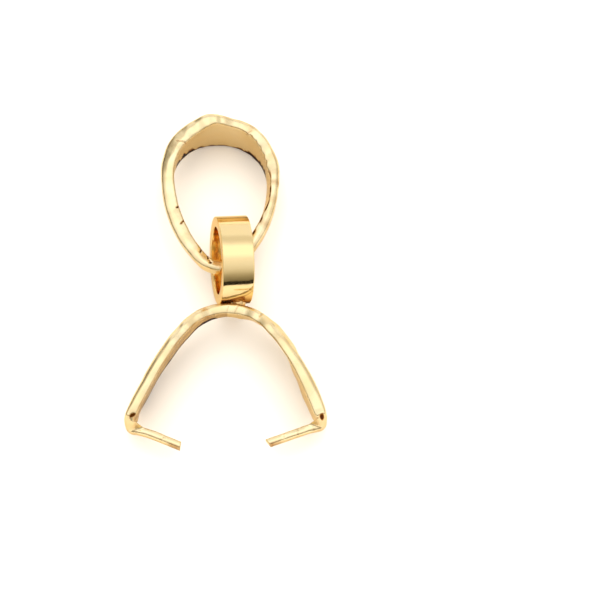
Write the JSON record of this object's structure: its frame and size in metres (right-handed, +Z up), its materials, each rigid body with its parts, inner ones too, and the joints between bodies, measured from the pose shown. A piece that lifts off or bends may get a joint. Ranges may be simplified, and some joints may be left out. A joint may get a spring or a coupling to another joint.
{
  "type": "pinch bail finding",
  "caption": "Lying jewellery bail: leaf-shaped sheet loop through a short link ring soldered to a sprung arch with inward prongs.",
  "frame": {"origin": "bottom centre of the lying bail's bounding box, on the surface that it lies on", "axes": "+Y from the prongs to the crest of the loop, +Z up, +X towards the right prong with the crest pointing away"},
  "size_m": [0.0068, 0.0118, 0.0032],
  "materials": {
    "gilt_loop": "polished gold plate",
    "gilt_pinch": "polished gold plate"
  },
  "bodies": {
    "root": {"bail_loop": "gilt_loop", "ring_and_pinch": "gilt_pinch"}
  },
  "joints": []
}
